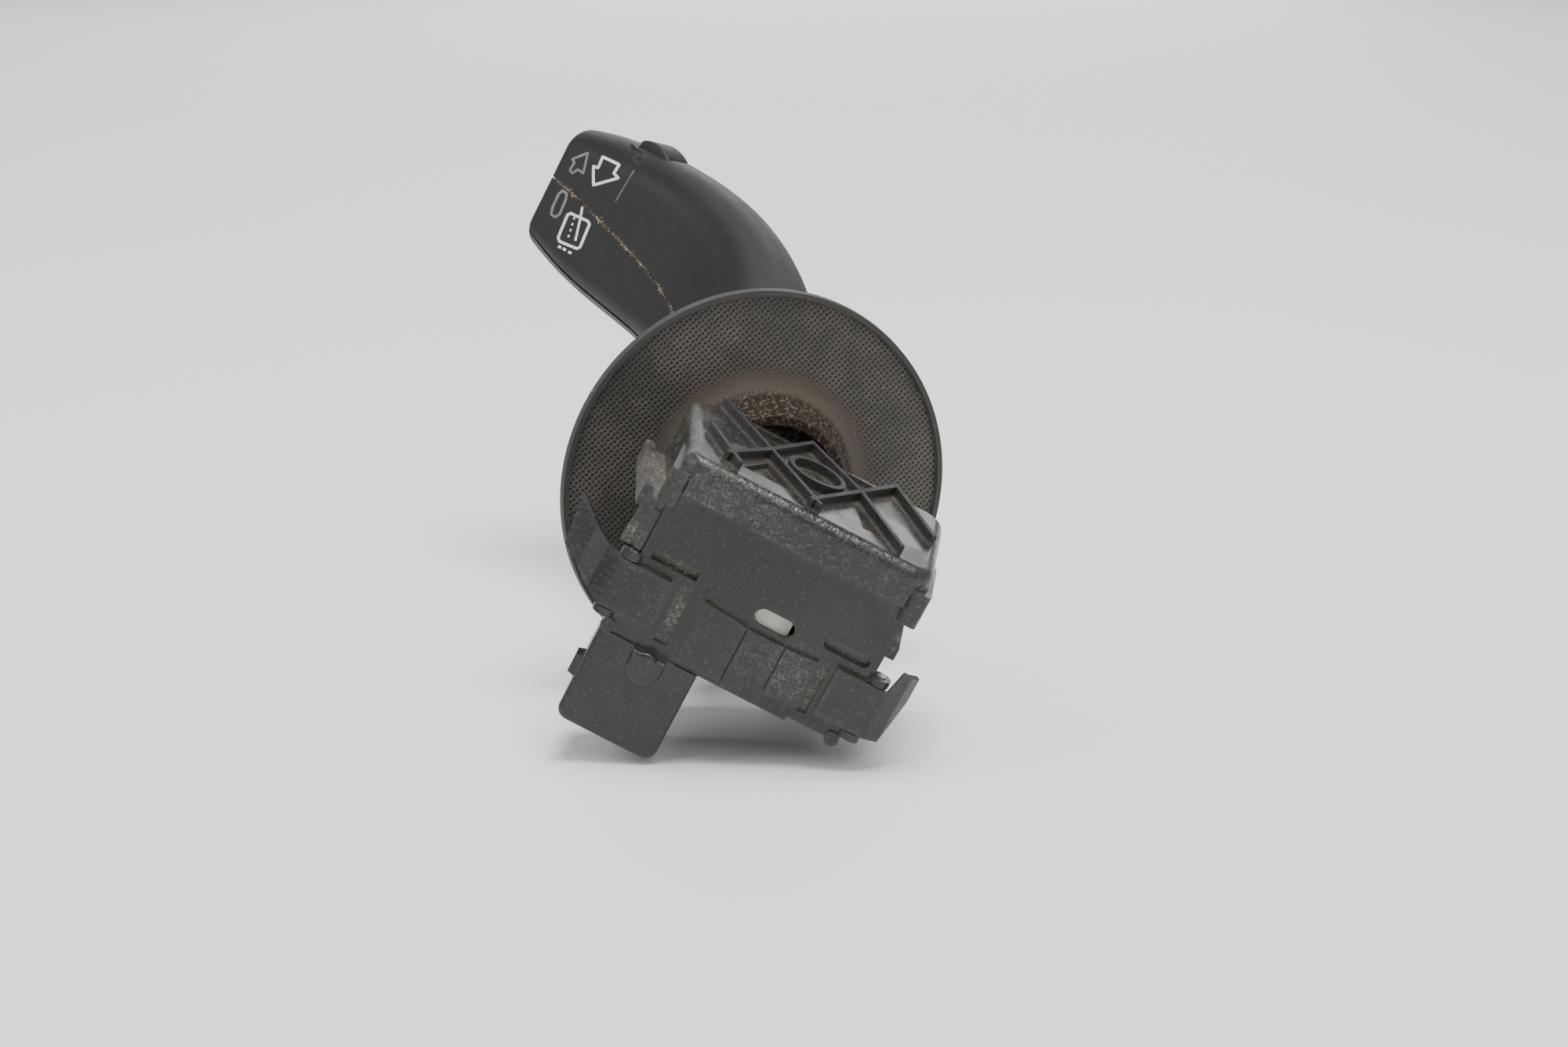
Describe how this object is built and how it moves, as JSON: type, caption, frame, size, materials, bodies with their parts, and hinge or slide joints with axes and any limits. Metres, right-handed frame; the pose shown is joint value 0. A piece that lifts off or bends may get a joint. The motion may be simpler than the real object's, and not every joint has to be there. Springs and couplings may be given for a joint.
{
  "type": "combination stalk switch",
  "caption": "Steering-column stalk switch: ribbed switch box with connector and release clips, shroud disc and curved two-axis lever with a rocker key.",
  "frame": {"origin": "centre of the box's front face, the end plate that seats in the column carrier", "axes": "+X from the seating face out along the lever, +Y towards the driver (the side the lever bends to), +Z towards the ribbed cover"},
  "size_m": [0.1451, 0.0981, 0.0699],
  "materials": {
    "housing_black": "satin moulded",
    "lever_black": "soft satin",
    "disc_black": "woven grain",
    "inner_white": "moulded",
    "core_grey": "glass-filled",
    "copper": "stamped",
    "spring_steel": "wire",
    "board_green": "solder mask",
    "tin": "tinned"
  },
  "bodies": {
    "switch_box": {"switch_housing": "housing_black", "end_plate": "housing_black", "ribbed_cover": "housing_black", "connector_socket": "housing_black", "connector_blades": "tin", "circuit_board": "board_green", "contact_strips": "copper", "detent_track": "inner_white", "clip_pins": "spring_steel"},
    "carrier": {"swivel_carrier": "inner_white", "contact_bridge": "copper", "lever_pin": "spring_steel"},
    "carrier_detent": {"carrier_plunger": "inner_white", "carrier_spring": "spring_steel"},
    "lever": {"lever_core": "core_grey", "upper_shell": "lever_black", "middle_trim": "lever_black", "lower_shell": "lever_black", "shroud_disc": "disc_black", "shell_screws": "spring_steel", "rocker_pin": "spring_steel"},
    "lever_detent": {"lever_plunger": "inner_white", "lever_spring": "spring_steel"},
    "rocker": {"rocker_key": "lever_black"},
    "driver_clip": {"driver_side_clip": "housing_black"},
    "far_clip": {"far_side_clip": "housing_black"}
  },
  "joints": [
    {"name": "wiper_swing", "type": "hinge", "parent": "switch_box", "child": "carrier", "pos_m": [0.022, -0.002, -0.001], "axis": [0, 1, 0], "range_deg": [-6, 12]},
    {"name": "stalk_pull", "type": "hinge", "parent": "carrier", "child": "lever", "pos_m": [0.022, -0.002, -0.001], "axis": [0, 0, 1], "range_deg": [-6, 7], "stiffness_Nm_per_rad": 1.2},
    {"name": "carrier_detent_slide", "type": "slide", "parent": "carrier", "child": "carrier_detent", "axis": [1, 0, 0], "range_m": [0, 0.0004], "stiffness_N_per_m": 800},
    {"name": "lever_detent_slide", "type": "slide", "parent": "lever", "child": "lever_detent", "axis": [1, 0, 0], "range_m": [0, 0.0004], "stiffness_N_per_m": 800},
    {"name": "rocker_tilt", "type": "hinge", "parent": "lever", "child": "rocker", "pos_m": [0.1259, 0.0511, 0.025], "axis": [-0.7547, 0.6561, 0], "range_deg": [-4, 4], "stiffness_Nm_per_rad": 0.03},
    {"name": "driver_clip_release", "type": "hinge", "parent": "switch_box", "child": "driver_clip", "pos_m": [0.0005, 0.0226, -0.0097], "axis": [0, 0, -1], "range_deg": [0, 8], "stiffness_Nm_per_rad": 0.05},
    {"name": "far_clip_release", "type": "hinge", "parent": "switch_box", "child": "far_clip", "pos_m": [0.0005, -0.0226, -0.0097], "axis": [0, 0, 1], "range_deg": [0, 8], "stiffness_Nm_per_rad": 0.05}
  ]
}
